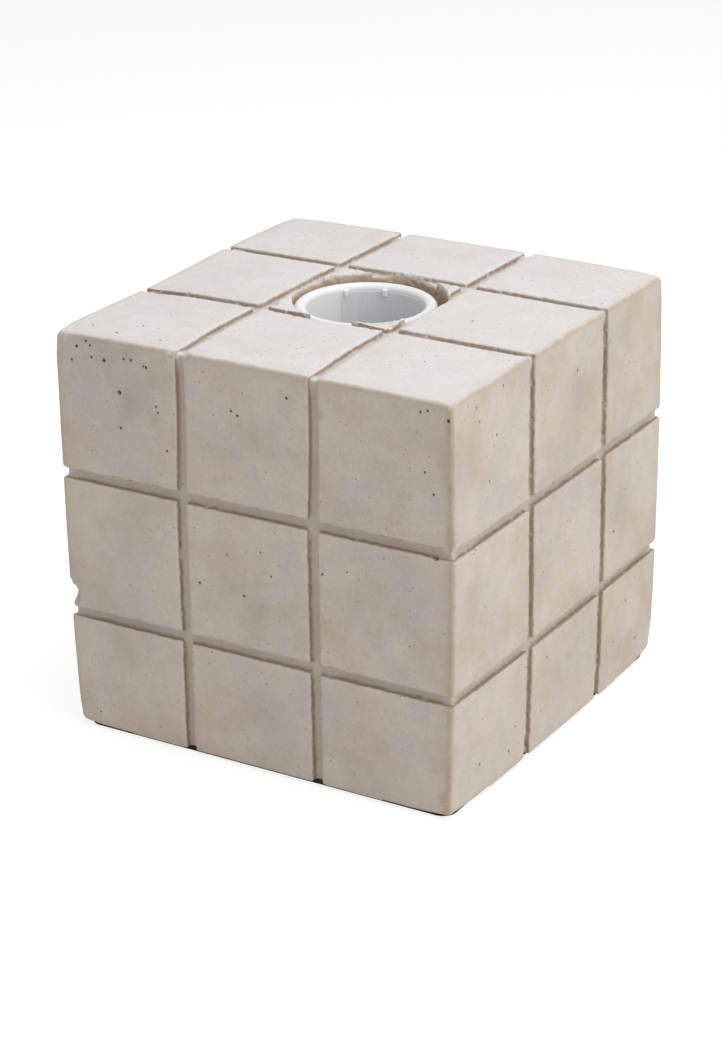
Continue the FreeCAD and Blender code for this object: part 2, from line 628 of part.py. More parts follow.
def makeRatingLabel():
    outer = cylinder("labelOutside", "dims.mouthRadius", "dims.labelHeight")
    inner = cylinder("labelInside", "dims.mouthRadius - dims.labelThickness", "dims.labelHeight")
    bottom = "dims.rimHeight - dims.labelDrop - dims.labelHeight"
    outer.setExpression("Angle", "dims.labelSweepAngle")
    for item in (outer, inner):
        turn(item, (0, 0, 1), 1)
        placeOnHolder(item, z=bottom)
        item.setExpression("Placement.Rotation.Angle", "dims.labelStartAngle * 1 deg")
    spaces = [lug("lugSpace%d" % number, "(%s)" % degrees, "dims.labelGap")
              for number, degrees in enumerate(lugDirections())]
    return cut("rating_label", outer, join("MultiFuse", "labelCuts", [inner] + spaces))


subParts = [
    makeConcreteBlock(),
    makeBasePad(),
    makeHolderSkirt(),
    makeHolderCap(),
    makeContactCarrier(),
    makeScrewShell(),
    makeShellRivets(),
    makeCentreContact(),
    makeContactRivet(),
    makeTerminal("live_terminal", -1, "-dims.contactPivot"),
    makeTerminal("neutral_terminal", 1, "dims.rivetCircle"),
    makeTerminalScrews(),
    makeLockScrew(),
    makeCableGrommet(),
    makeRatingLabel(),
] + makeTubeAndFasteners()

doc.recompute()
for item in doc.Objects:
    if "Invalid" in item.State or "Error" in item.State:
        raise RuntimeError("%s failed: %s" % (item.Name, item.State))
for part in subParts:
    if part.Shape.isNull() or not part.Shape.isValid() or not part.Shape.Solids:
        raise RuntimeError("%s has no valid solid" % part.Label)
for part in subParts:
    part.Shape.exportStep("parts/%s.step" % part.Label)
    print("%-18s %2d solid(s) %10.2f mm3" % (part.Label, len(part.Shape.Solids), part.Shape.Volume))
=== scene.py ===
import json
import math
import random

import bpy
import numpy as np
from mathutils import Matrix, Vector, noise

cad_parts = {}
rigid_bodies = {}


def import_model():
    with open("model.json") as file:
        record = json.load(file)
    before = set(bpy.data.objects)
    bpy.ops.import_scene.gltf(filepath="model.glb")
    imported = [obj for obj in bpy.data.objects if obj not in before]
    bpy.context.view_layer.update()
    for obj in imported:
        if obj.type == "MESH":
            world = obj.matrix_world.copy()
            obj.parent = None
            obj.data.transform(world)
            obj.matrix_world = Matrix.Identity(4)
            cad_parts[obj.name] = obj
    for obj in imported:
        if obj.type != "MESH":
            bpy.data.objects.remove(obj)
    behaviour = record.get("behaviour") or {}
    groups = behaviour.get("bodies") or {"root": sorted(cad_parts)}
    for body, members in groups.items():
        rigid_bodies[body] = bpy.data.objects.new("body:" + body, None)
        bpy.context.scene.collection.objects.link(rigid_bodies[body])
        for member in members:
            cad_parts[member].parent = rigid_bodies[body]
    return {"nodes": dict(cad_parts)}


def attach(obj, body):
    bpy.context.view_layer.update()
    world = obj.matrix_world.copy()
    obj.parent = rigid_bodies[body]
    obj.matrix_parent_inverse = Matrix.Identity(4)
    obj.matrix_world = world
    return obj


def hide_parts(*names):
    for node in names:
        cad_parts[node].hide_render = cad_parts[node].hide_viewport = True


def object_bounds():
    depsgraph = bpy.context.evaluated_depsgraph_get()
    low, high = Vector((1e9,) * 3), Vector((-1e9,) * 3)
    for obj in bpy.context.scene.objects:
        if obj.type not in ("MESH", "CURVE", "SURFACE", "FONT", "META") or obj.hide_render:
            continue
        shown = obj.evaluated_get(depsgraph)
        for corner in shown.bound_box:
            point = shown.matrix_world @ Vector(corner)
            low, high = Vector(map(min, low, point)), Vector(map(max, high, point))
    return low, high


# Cast concrete cube lamp with a screw lampholder in its top. Metres, the CAD model's own frame.

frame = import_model()
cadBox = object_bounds()
nodes = frame["nodes"]
mm = 0.001
print("frame loaded,", len(nodes), "nodes")


def selectOnly(piece):
    bpy.ops.object.select_all(action="DESELECT")
    piece.select_set(True)
    bpy.context.view_layer.objects.active = piece


def applyModifier(piece, kind, **settings):
    selectOnly(piece)
    modifier = piece.modifiers.new(kind.lower(), kind)
    for name, setting in settings.items():
        setattr(modifier, name, setting)
    bpy.ops.object.modifier_apply(modifier=modifier.name)


def applyPlace(piece):
    selectOnly(piece)
    bpy.ops.object.transform_apply(location=True, rotation=True, scale=True)


def smoothByAngle(piece, degrees=35):
    selectOnly(piece)
    bpy.ops.object.shade_smooth_by_angle(angle=math.radians(degrees))


# runs one edit mode tool on a piece's whole mesh
def editAll(piece, tool, **settings):
    selectOnly(piece)
    bpy.ops.object.mode_set(mode="EDIT")
    bpy.ops.mesh.select_all(action="SELECT")
    tool(**settings)
    bpy.ops.object.mode_set(mode="OBJECT")


# picks the vertices for which the test holds, ready for the next edit mode
def pickVertices(piece, test):
    mesh = piece.data
    for vertex in mesh.vertices:
        vertex.select = test(vertex.co)
    for edge in mesh.edges:
        edge.select = all(mesh.vertices[i].select for i in edge.vertices)
    for face in mesh.polygons:
        face.select = all(mesh.vertices[i].select for i in face.vertices)


# a copy of a CAD node's mesh as the start of a piece, with its loose triangles merged
def copyOfNode(nodeName, pieceName):
    piece = bpy.data.objects.new(pieceName, nodes[nodeName].data.copy())
    bpy.context.scene.collection.objects.link(piece)
    editAll(piece, bpy.ops.mesh.remove_doubles, threshold=0.001 * mm)
    piece.data.materials.clear()
    return piece


# a copy of a CAD node with its flat triangles joined and its edges rounded
def roundedCopy(nodeName, pieceName, rounding):
    flatAngle, edgeAngle = math.radians(1.0), math.radians(34)
    piece = copyOfNode(nodeName, pieceName)
    editAll(piece, bpy.ops.mesh.dissolve_limited, angle_limit=flatAngle)
    applyModifier(piece, "BEVEL", width=rounding * mm, segments=2, limit_method="ANGLE",
                  angle_limit=edgeAngle)
    smoothByAngle(piece)
    return piece


# a round form: a ring is extruded and resized from corner to corner of its outline, then closed
def turnOutline(name, axis, outline, sides):
    radius, level = outline[0]
    bpy.ops.object.select_all(action="DESELECT")
    bpy.ops.mesh.primitive_circle_add(vertices=sides, radius=radius, location=(*axis, level))
    piece = bpy.context.active_object
    piece.name = name
    applyPlace(piece)
    bpy.ops.object.mode_set(mode="EDIT")
    bpy.ops.mesh.select_mode(type="EDGE")
    bpy.ops.mesh.select_all(action="SELECT")
    for nextRadius, nextLevel in outline[1:]:
        lift = {"value": (0, 0, nextLevel - level)}
        bpy.ops.mesh.extrude_region_move(TRANSFORM_OT_translate=lift)
        share = nextRadius / radius
        bpy.ops.transform.resize(value=(share, share, 1), center_override=(*axis, nextLevel))
        radius, level = nextRadius, nextLevel
    bpy.ops.object.mode_set(mode="OBJECT")
    ends = [outline[0], outline[-1]]
    nearly = 0.001 * mm

    def onEndRing(co):
        away = math.hypot(co.x - axis[0], co.y - axis[1])
        return any(abs(away - r) < nearly and abs(co.z - z) < nearly for r, z in ends)

    pickVertices(piece, onEndRing)
    bpy.ops.object.mode_set(mode="EDIT")
    bpy.ops.mesh.bridge_edge_loops()
    bpy.ops.object.mode_set(mode="OBJECT")
    editAll(piece, bpy.ops.mesh.normals_make_consistent, inside=False)
    return piece


# corners of a quarter round at the top of an outline, from its side (outward 1) or its hole (outward -1)
def quarterRound(across, level, radius, outward, steps=8):
    corners = []
    for step in range(steps + 1):
        angle = math.radians(90 * step / steps)
        corners.append((across - outward * radius * (1 - math.cos(angle)),
                        level - radius * (1 - math.sin(angle))))
    return corners


# an sRGB colour as the shader wants it
def toLinear(hexColour):
    channels = [int(hexColour[i:i + 2], 16) / 255 for i in (1, 3, 5)]
    return tuple(c / 12.92 if c <= 0.04045 else ((c + 0.055) / 1.055) ** 2.4 for c in channels) + (1.0,)


# adds a shader node with its settings, values and links
def addNode(tree, kind, sockets=None, **settings):
    node = tree.nodes.new("ShaderNode" + kind)
    for name, setting in settings.items():
        setattr(node, name, setting)
    for socket, source in (sockets or {}).items():
        if isinstance(source, bpy.types.NodeSocket):
            tree.links.new(source, node.inputs[socket])
        else:
            node.inputs[socket].default_value = source
    return node


def newMaterial(name, **values):
    material = bpy.data.materials.new(name)
    material.use_nodes = True
    tree = material.node_tree
    shader = tree.nodes["Principled BSDF"]
    for socket, setting in values.items():
        shader.inputs[socket].default_value = setting
    return material, tree, shader


# ---- camera, light and floor

cameraView = {"place": (0.39487, -0.65268, 0.36875), "azimuth": 31.37, "elevation": 22.54,
              "roll": -0.96, "lens": 100.77}
bpy.ops.object.camera_add(location=cameraView["place"])
camera = bpy.context.active_object
camera.name = "photoCamera"
camera.data.lens = cameraView["lens"]
camera.data.clip_start = 0.05
camera.rotation_euler = (
    Matrix.Rotation(math.radians(cameraView["azimuth"]), 3, "Z")
    @ Matrix.Rotation(math.radians(90 - cameraView["elevation"]), 3, "X")
    @ Matrix.Rotation(math.radians(cameraView["roll"]), 3, "Z")).to_euler()
bpy.context.scene.camera = camera
bpy.context.scene.view_settings.view_transform = "Standard"

studio = {
    # name: (place, size, power)
    "lamps": {
        "topLamp": ((0.12, 0.02, 0.95), 0.9, 4.9),
        "rightLamp": ((0.95, -0.10, 0.45), 0.7, 3.8),
        "frontLamp": ((-0.30, -1.00, 0.25), 0.8, 1.1),
    },
    "aim": (0, 0, 0.06), "ambient": 0.35,
}
for lampName, (place, size, power) in studio["lamps"].items():
    bpy.ops.object.light_add(type="AREA", location=place)
    lamp = bpy.context.active_object
    lamp.name = lampName
    lamp.data.shape = "DISK"
    lamp.data.size = size
    lamp.data.energy = power
    lamp.rotation_euler = (Vector(studio["aim"]) - Vector(place)).to_track_quat("-Z", "Y").to_euler()

# the camera, mirrors and glass see white; all else gets the weaker ambient light
world = bpy.data.worlds.new("studioWorld")
bpy.context.scene.world = world
world.use_nodes = True
worldTree = world.node_tree
seen = addNode(worldTree, "LightPath")
direct = addNode(worldTree, "Math", {0: seen.outputs["Is Camera Ray"], 1: seen.outputs["Is Glossy Ray"]},
                 operation="MAXIMUM")
shown = addNode(worldTree, "Math", {0: direct.outputs[0], 1: seen.outputs["Is Transmission Ray"]},
                operation="MAXIMUM")
strength = addNode(worldTree, "MapRange", {"Value": shown.outputs[0], "To Min": studio["ambient"],
                                           "To Max": 1.0})
background = worldTree.nodes["Background"]
background.inputs["Color"].default_value = (1, 1, 1, 1)
worldTree.links.new(strength.outputs[0], background.inputs["Strength"])

bpy.ops.object.select_all(action="DESELECT")
bpy.ops.mesh.primitive_plane_add(size=6)
floor = bpy.context.active_object
floor.name = "studioFloor"
# matt white paper sweep: white to the eye, and it still takes the object's soft shadow
floorPaper, floorTree, floorShader = newMaterial("paperSweepMattWhite")
floorSeen = addNode(floorTree, "LightPath")
floorDiffuse = addNode(floorTree, "BsdfDiffuse", {"Color": (0.80, 0.80, 0.80, 1)})
floorSoft = addNode(floorTree, "BsdfDiffuse", {"Color": (0.30, 0.30, 0.30, 1)})
floorGlow = addNode(floorTree, "Emission", {"Color": (1, 1, 1, 1), "Strength": 0.80})
floorBoth = addNode(floorTree, "AddShader", {0: floorSoft.outputs[0], 1: floorGlow.outputs[0]})
floorMix = addNode(floorTree, "MixShader", {0: floorSeen.outputs["Is Camera Ray"],
                                            1: floorDiffuse.outputs[0], 2: floorBoth.outputs[0]})
floorTree.links.new(floorMix.outputs[0], floorTree.nodes["Material Output"].inputs["Surface"])
floorTree.nodes.remove(floorShader)
floor.data.materials.append(floorPaper)
print("camera, lamps and floor set")


# ---- concrete block

concrete = {
    "half": 60.0, "top": 117.3, "foot": 1.5,                # mm, the CAD block between its corners
    "crownSide": 1.7, "crownFront": 0.5, "crownTop": 0.8,
    "flareRight": (-0.16, 1.1), "flareLeft": (0.0, 1.75),   # how far the sides open at the foot and top
    "fullness": 1.0, "skinZone": (34, 57),                  # fuller front and rear; the inside stays put
    "sag": 0.5, "sagTop": 30,                               # lower foot
    "bevel": 1.3, "crisp": 0.45, "edgeZone": 5.0,           # the CAD bevel is drawn in to this share
    "runOut": 7.0, "edgeDepth": 0.6, "edgeReach": 12,       # grooves grow shallow towards the block's edges
    "skinDeep": 2.6, "skinAbove": 0.5,                      # what lies this near the skin moves with it
    # low places of the top: x, y, reach each way, depth
    "dips": [(-2.0, -19.5, 13.0, 4.0, 0.6), (-16.5, -14.0, 5.0, 4.5, 0.6), (14.5, -14.5, 5.0, 4.0, 1.0),
             (-15.0, 18.0, 5.0, 5.0, 0.5), (-60.0, -15.0, 10.0, 24.0, 0.8)],
    "dipFade": (2.5, 8),
    # grooves lean right towards the top front edge: how far, and where from and to
    "lean": 1.15, "leanFront": (36, 58), "leanUp": (66, 104), "leanSide": (26, 50),
    "groovesX": (-22.5, 18.7), "groovesY": (-18.6, 23.9), "groovesZ": (35.0, 76.3),
    "grooveWidth": 2.8, "grooveSlack": 0.35,
    "recess": (-1.0, 3.5, 21.5),
    "grain": 0.5, "roughGrain": 0.9,
    "mostTriangles": 176000,
    "wave": 0.07, "waveSize": 14.0, "waveMean": 0.7,        # slow unevenness of the cast skin
    "rag": 0.22, "ragSize": 1.5, "ragReach": 0.8,           # small nicks along the groove edges
    "lipRag": 1.2, "lipReach": 1.2,                         # the same around the recess
    "ragDeep": 2.4, "lipDeep": 4.0, "wearDeep": 6.0,        # how far below the skin each is felt
    "leastSink": 0.03, "mostSink": 2.0,
    "edgeRound": 0.8,                                       # least rounding in the worn corners' reach
    # corners worn rounder than the rest: side, front, level, radius, reach along the edges
    "worn": [(-1, -1, 117.3, 2.4, 6.0), (-1, -1, 1.0, 2.0, 6.0), (1, -1, 1.0, 1.8, 7.0),
             (1, 1, 1.0, 3.0, 8.0), (-1, 1, 117.3, 2.2, 6.0), (-1, 1, 1.0, 2.4, 6.0),
             (1, 1, 117.3, 1.9, 6.0)],
    # places where the cast is broken away: x, y, z and size of the bite
    "chipRim": 1.25,
    "chips": [(-61.8, -60.8, 39.9, 4.2), (-61.4, -61.2, 35.2, 2.3), (-21.8, -61.6, 118.9, 3.6),
              (-19.6, -61.2, 118.4, 2.0), (20.4, -61.2, 118.6, 1.3), (58.0, -61.2, 1.0, 1.5),
              (61.5, -20.8, 1.5, 1.1), (61.5, 44.2, 2.4, 1.4), (60.6, 57.6, 1.6, 1.9),
              (60.8, -61.0, 12.8, 1.2), (-58.6, -61.5, 101.0, 1.3), (-20.9, -14.4, 118.6, 1.5),
              (16.2, -15.9, 118.6, 1.3), (-40.6, 61.2, 118.0, 1.6), (33.0, 61.4, 37.0, 1.7),
              (-62.4, 20.6, 77.5, 1.6), (-62.3, -16.6, 76.8, 1.2)],
    # air holes: x, y, z and radius
    "airHoles": [(-51.2, -60.4, 115.9, 0.45), (-49.9, -60.4, 114.8, 0.4), (-54.4, -60.4, 113.9, 0.5),
                 (-56.2, -60.4, 109.8, 0.45), (-49.6, -60.4, 111.5, 0.4), (-45.5, -60.4, 111.3, 0.55),
                 (-39.0, -60.4, 112.7, 0.4), (-36.7, -60.4, 112.8, 0.45), (-31.9, -60.4, 111.6, 0.45),
                 (-40.9, -60.4, 103.0, 0.7), (-29.2, -60.4, 101.0, 0.4), (-28.6, -60.4, 99.4, 0.35),
                 (-41.1, -60.4, 92.8, 0.5), (-26.2, -60.4, 88.9, 0.4), (-20.8, -60.0, 110.7, 0.5),
                 (53.9, -60.4, 114.6, 0.4), (51.8, -60.4, 113.9, 0.4), (53.0, -60.4, 98.0, 0.35),
                 (55.5, -60.4, 92.4, 0.4), (55.9, -60.4, 75.0, 0.9), (59.9, -60.2, 113.0, 0.55),
                 (61.4, -34.7, 114.5, 0.4), (61.4, -48.5, 112.9, 0.4), (61.4, -47.0, 108.7, 0.35),
                 (61.4, -38.4, 102.3, 0.4), (61.4, -42.1, 90.8, 0.35), (-54.7, -52.3, 117.6, 0.45),
                 (-45.0, -54.7, 117.7, 0.5), (-31.0, -54.6, 117.8, 0.45), (14.9, 19.1, 117.9, 0.4)],
    "moreHoles": 24, "holeSizes": (0.22, 0.28, 0.34, 0.45), # strewn over each face besides
    "holeSink": 0.1,                                        # a hole's middle lies this far below the skin
    # soft grey damp patches: x, y, z, reach
    "patches": [(-42.9, -60.4, 113.4, 2.6), (-38.2, -60.4, 114.5, 2.4), (-36.4, -60.4, 100.9, 5.5),
                (44.8, -60.4, 113.6, 2.0), (50.0, -60.4, 107.0, 2.2), (-29.7, -60.4, 97.2, 2.6),
                (61.8, 8.0, 98.0, 7.0), (61.8, 34.0, 56.0, 8.0), (2.0, -60.4, 20.0, 7.0)],
}


# 0 up to low, 1 from high on, smooth between
def ramp(values, low, high):
    share = np.clip((values - low) / (high - low), 0, 1)
    return share * share * (3 - 2 * share)


# how far the CAD block reaches sideways, forwards and up at each point, and how far the cast one does
def skinReach(x, y, z):
    c = concrete
    up = z - (c["top"] + c["foot"]) / 2

    def skin(crown, a, b):
        radius = c["half"] ** 2 / crown
        return crown - (a * a + b * b) / (2 * radius)

    side = c["half"] + skin(c["crownSide"], y, up)
    front = c["half"] + skin(c["crownFront"], x, up)
    top = c["top"] + skin(c["crownTop"], x, y)
    flare = [np.where(x > 0, c["flareRight"][i], c["flareLeft"][i]) for i in (0, 1)]
    flared = np.minimum(side + flare[0] + flare[1] * z / c["top"], cadBox[1][0] / mm - 0.02)
    fuller = np.minimum(front + c["fullness"], cadBox[1][1] / mm - 0.02)
    return (side, front, top), (flared, fuller, top)


# how far each point lies below the cast skins, in mm
def skinDepths(points):
    x, y, z = (points / mm).T
    side, front, top = skinReach(x, y, z)[1]
    return np.stack([side - np.abs(x), front - np.abs(y), top - z])


# pulls the CAD block's outside to the cast block's: fuller faces, crisper edges, grooves that run out
def castShape(points):
    c = concrete
    x, y, z = (points / mm).T
    before, after = skinReach(x, y, z)
    sag = c["sag"] * (1 - ramp(z, c["foot"], c["sagTop"]))
    x = x + (c["lean"] * ramp(-y, *c["leanFront"]) * ramp(z, *c["leanUp"])
             * (1 - ramp(np.abs(x), *c["leanSide"])))
    p = np.stack([x + np.sign(x) * (after[0] - before[0]) * ramp(np.abs(x), *c["skinZone"]),
                  y + np.sign(y) * (after[1] - before[1]) * ramp(np.abs(y), *c["skinZone"]),
                  z - sag], axis=1)
    depths = skinDepths(p * mm)
    order = np.argsort(depths, axis=0)
    rows = np.arange(len(p))
    first, second = depths[order[0], rows], depths[order[1], rows]
    share = c["edgeDepth"] + (1 - c["edgeDepth"]) * ramp(second, c["bevel"], c["runOut"])
    nearer = np.where(second < c["bevel"], c["crisp"] * second, np.interp(
        second, (c["bevel"], c["edgeZone"]), (c["crisp"] * c["bevel"], c["edgeZone"])))
    nearSkin = (first < c["skinDeep"]) & (second < c["edgeReach"]) & (first > -c["skinAbove"])
    nearEdge = nearSkin & (second < c["edgeZone"])
    outward = np.sign(p)
    outward[:, 2] = 1
    whole = np.ones(len(p))                                 # broken places keep their shape
    for atX, atY, atZ, size in c["chips"]:
        whole *= ramp(np.linalg.norm(p - (atX, atY, atZ), axis=1), size, size * c["chipRim"])
    for number, wanted, moving in ((0, first * share, nearSkin), (1, nearer, nearEdge)):
        moved = np.where(moving, depths[order[number], rows] - wanted, 0)
        p[rows, order[number]] += outward[rows, order[number]] * moved * whole
    for atX, atY, reachX, reachY, depth in c["dips"]:
        near = np.exp(-((p[:, 0] - atX) / reachX) ** 2 - ((p[:, 1] - atY) / reachY) ** 2)
        p[:, 2] -= depth * near * (1 - ramp(c["top"] - p[:, 2], *c["dipFade"]))
    return p * mm


# distance to the nearest groove edge, whether a point is in a groove, and its way from the recess axis
def grooveDistances(points):
    c = concrete
    x, y, z = points[:, 0] / mm, points[:, 1] / mm, points[:, 2] / mm
    half = c["grooveWidth"] / 2
    fromMiddle = np.array([np.abs(x - at) for at in c["groovesX"]] + [np.abs(y - at) for at in c["groovesY"]]
                          + [np.abs(z - at) for at in c["groovesZ"]])
    toEdge = np.min(np.abs(fromMiddle - half), axis=0)
    inGroove = np.min(fromMiddle, axis=0) < half + c["grooveSlack"]
    return toEdge, inGroove, np.hypot(x - c["recess"][0], y - c["recess"][1])


def noiseField(points, size, seed, depth=2):
    shift = Vector((seed * 7.31, seed * 3.17, seed * 5.77))
    scale = 1 / (size * mm)
    return np.array([noise.fractal(Vector(p) * scale + shift, 0.6, 2.1, depth) for p in points])


def pointsOf(piece, layer="co"):
    count = len(piece.data.vertices)
    flat = np.empty(count * 3, np.float32)
    piece.data.vertices.foreach_get(layer, flat)
    return flat.reshape(count, 3).astype(float)


def movePoints(piece, points):
    piece.data.vertices.foreach_set("co", points.astype(np.float32).ravel())
    piece.data.update()


def triangleCount(piece):
    return sum(len(face.vertices) - 2 for face in piece.data.polygons)


# keeps a value from 0 to 1 on every vertex, for the material
def storeShare(piece, name, values):
    attribute = piece.data.attributes.new(name, "FLOAT", "POINT")
    attribute.data.foreach_set("value", np.clip(values, 0, 1).astype(np.float32))


# rounds the block's outer edges, more so near the worn corners
def roundEdges(points):
    c = concrete
    p = points / mm
    depths = skinDepths(points)
    for side, front, level, radius, reach in c["worn"]:
        upward = 1 if level > c["half"] else -1
        corner = np.array([side * c["half"], front * c["half"], level])
        away = np.linalg.norm(p - corner, axis=1)
        near = away < 3 * reach                             # further off, the corner isn't felt
        rounding = c["edgeRound"] + (radius - c["edgeRound"]) * np.exp(-(away[near] / reach) ** 2)
        height = depths[2][near] if upward > 0 else p[near, 2] - level
        over = np.maximum(rounding - np.stack([depths[0][near], depths[1][near], height]), 0)
        length = np.maximum(np.linalg.norm(over, axis=0), 1e-9)
        back = np.maximum(1 - rounding / length, 0) * over
        p[near] -= (back * np.array([[side], [front], [upward]])).T
    return p * mm


# wears the cast skin inwards: slow waves all over, small nicks along the grooves and the recess
def wearSkin(points, normals):
    c = concrete
    depths = skinDepths(points)
    below = np.min(depths, axis=0)
    grooveEdge, _, away = grooveDistances(points)
    nearGroove = np.exp(-(grooveEdge / c["ragReach"]) ** 2) * (below < c["ragDeep"])
    nearRecess = np.exp(-((away - c["recess"][2]) / c["lipReach"]) ** 2) * (depths[2] < c["lipDeep"])
    ragged = np.maximum(nearGroove, c["lipRag"] * nearRecess)
    sink = c["wave"] * (c["waveMean"] + noiseField(points, c["waveSize"], 1))
    feltFrom, nickMean, nickGain, nickMost = 0.15, 0.2, 1.9, 2.2
    some = ragged > feltFrom
    nick = noiseField(points[some], c["ragSize"], 2, 3)
    sink[some] += c["rag"] * ragged[some] * np.clip(nickMean + nick * nickGain, 0, nickMost)
    sink = np.clip(sink, c["leastSink"], c["mostSink"])
    sink[below > c["wearDeep"]] = 0.0                       # the recess and the cavity stay smooth
    return points - normals * sink[:, None] * mm


# rough stones used as cutters, joined into one piece; every stone is a copy of the first
def stones(name, places, detail, seed):
    bpy.ops.object.select_all(action="DESELECT")
    bpy.ops.mesh.primitive_ico_sphere_add(subdivisions=detail, radius=1.0)
    first = bpy.context.active_object
    first.name = name
    lumpSize, lumpHeight = 0.8, 0.22
    points = pointsOf(first)
    rough = noiseField(points * mm, lumpSize, seed)
    movePoints(first, points * (1 + lumpHeight * rough[:, None]))
    copies = []
    for number, (x, y, z, radius) in enumerate(places):
        stone = first.copy()
        stone.data = first.data.copy()
        bpy.context.scene.collection.objects.link(stone)
        stone.location = (x * mm, y * mm, z * mm)
        stone.rotation_euler = (number * 1.3, number * 2.1, number * 0.7)
        stone.scale = (radius * mm, radius * mm, radius * mm)
        copies.append(stone)
    bpy.data.objects.remove(first)
    bpy.ops.object.select_all(action="DESELECT")
    for stone in copies:
        stone.select_set(True)
    bpy.context.view_layer.objects.active = copies[0]
    bpy.ops.object.transform_apply(location=True, rotation=True, scale=True)
    bpy.ops.object.join()
    return bpy.context.active_object


# small air holes over every face but the underside
def strewnHoles():
    dice = random.Random(11)
    inner, low, high, outside = 57, 4, 114, 118             # mm, off the edges and beyond each face
    places = []
    for axisNumber, sign in ((0, 1), (0, -1), (1, 1), (1, -1), (2, 1)):
        for _ in range(concrete["moreHoles"]):
            spot = [dice.uniform(-inner, inner), dice.uniform(-inner, inner), dice.uniform(low, high)]
            spot[axisNumber] = outside * sign
            places.append((*spot, dice.choice(concrete["holeSizes"])))
    return places


# moves a place to the nearest cast face
def ontoSkin(place):
    spot = np.array([place[:3]])
    depths = skinDepths(spot * mm)[:, 0]
    face = int(np.argmin(depths))
    spot[0, face] += np.sign(spot[0, face]) * (depths[face] - concrete["holeSink"])
    return (*spot[0], place[3])


block = copyOfNode("concrete_block", "castConcreteBlock")
bites = stones("brokenBites", concrete["chips"], 3, 4)
applyModifier(block, "BOOLEAN", operation="DIFFERENCE", object=bites, solver="EXACT")
bpy.data.objects.remove(bites)
grain = concrete["grain"]
applyModifier(block, "REMESH", mode="VOXEL", voxel_size=grain * mm, use_smooth_shade=True)
applyModifier(block, "SMOOTH", factor=0.5, iterations=2)
movePoints(block, roundEdges(castShape(pointsOf(block))))
movePoints(block, wearSkin(pointsOf(block), pointsOf(block, "normal")))
triangles = triangleCount(block)
applyModifier(block, "DECIMATE", ratio=min(1.0, concrete["mostTriangles"] / triangles))
print("concrete block remeshed,", triangles, "triangles, then", triangleCount(block))
holePlaces = [ontoSkin(place) for place in concrete["airHoles"] + strewnHoles()]
airHoles = stones("airHoleCutters", holePlaces, 2, 9)
applyModifier(block, "BOOLEAN", operation="DIFFERENCE", object=airHoles, solver="EXACT")
bpy.data.objects.remove(airHoles)
# anything cut loose goes: all that isn't joined to the block's foot
lowest = min(vertex.co.z for vertex in block.data.vertices)
pickVertices(block, lambda co: co.z < lowest + 0.1 * mm)
bpy.ops.object.mode_set(mode="EDIT")
bpy.ops.mesh.select_linked()
bpy.ops.mesh.select_all(action="INVERT")
bpy.ops.mesh.delete(type="VERT")
bpy.ops.object.mode_set(mode="OBJECT")

points, normals = pointsOf(block), pointsOf(block, "normal")
depths = skinDepths(points)
below = np.min(depths, axis=0)
nearestFace = np.argmin(depths, axis=0)
_, inGroove, away = grooveDistances(points)
facing = np.abs(normals[np.arange(len(points)), nearestFace])
spots = points / mm


# how near each point is to any of the places: soft fades out, otherwise 1 within reach and 0 beyond
def nearAny(places, reachScale, soft):
    share = np.zeros(len(spots))
    for x, y, z, reach in places:
        distance = np.linalg.norm(spots - (x, y, z), axis=1) / (reach * reachScale)
        share = np.maximum(share, np.exp(-distance ** 2) if soft else (distance < 1) * 1.0)
    return share


# shares for the material; the ramps run over mm below the skin
inRecess = (away < concrete["recess"][2] + 0.8) & (depths[2] > 0.3)
# groove walls: brown stain with painted shade, darkened down in the groove crease
storeShare(block, "grooveWallStainAndShade", ramp(1 - facing, 0.12, 0.55) * ramp(below, 0.25, 0.8)
           * inGroove * (below < 3) * ~inRecess)
# groove floors: greyer and darker than the skin, painted shade at the bottom of the grooves
storeShare(block, "grooveFloorShade", ramp(below, 1.2, 1.6) * (below < 3) * inGroove)
storeShare(block, "topFace", (nearestFace == 2) * ramp(spots[:, 2], 112.0, 115.0))
# air holes: their insides painted dark brown, painted shade in the holes
storeShare(block, "airHoleShade", nearAny(holePlaces, 1.12, False) * ramp(below, 0.14, 0.35))
storeShare(block, "freshBreak", nearAny(concrete["chips"], 1.12, False) * ramp(below, 0.3, 0.7))
storeShare(block, "dampPatch", nearAny(concrete["patches"], 1.0, True))
nearCorner = np.sort(depths, axis=0)[1]
onFront = (nearestFace == 1) & (spots[:, 1] < 0)
storeShare(block, "wornEdge", np.exp(-(nearCorner / 1.0) ** 2)
           + onFront * (spots[:, 0] > 0) * np.exp(-(depths[0] / 2.0) ** 2))
# recess: tan filler colour with painted shade down the recess wall around the lampholder
storeShare(block, "recess", ramp(depths[2], 0.4, 1.6) * inRecess)
smoothByAngle(block, 60)

# concrete cast in a mould: matt and chalky to the eye, cloudy grey and tan, fine sand; painted shade darkens
# the air holes, the groove walls and floors and the recess
castConcrete, tree, shader = newMaterial("concreteCastGrey", Roughness=0.9)
shader.inputs["Specular IOR Level"].default_value = 0.25
place = addNode(tree, "TexCoord").outputs["Object"]
# where a share is full, this much of the colour covers the skin
overlays = {
    # grooveFloorShade: painted shade on the groove floors; grooveWallStainAndShade: brown stain with painted
    # shade on the groove walls
    "dampPatch": (0.4, "#A39D98"), "grooveFloorShade": (0.35, "#B9AEA4"), "grooveWallStainAndShade": (0.85, "#97836D"),
    # recess: tan with painted shade; airHoleShade: painted shade inside the air holes
    "recess": (1.0, "#BBA995"), "freshBreak": (0.5, "#D9D2C8"), "airHoleShade": (1.0, "#6F6255"),
}
shares = {name: addNode(tree, "Attribute", attribute_name=name).outputs["Fac"]
          for name in ("topFace", "wornEdge", *overlays)}


def blend(share, first, second, mode="MIX"):
    return addNode(tree, "Mix", {0: share, 6: first, 7: second}, data_type="RGBA",
                   blend_type=mode).outputs[2]


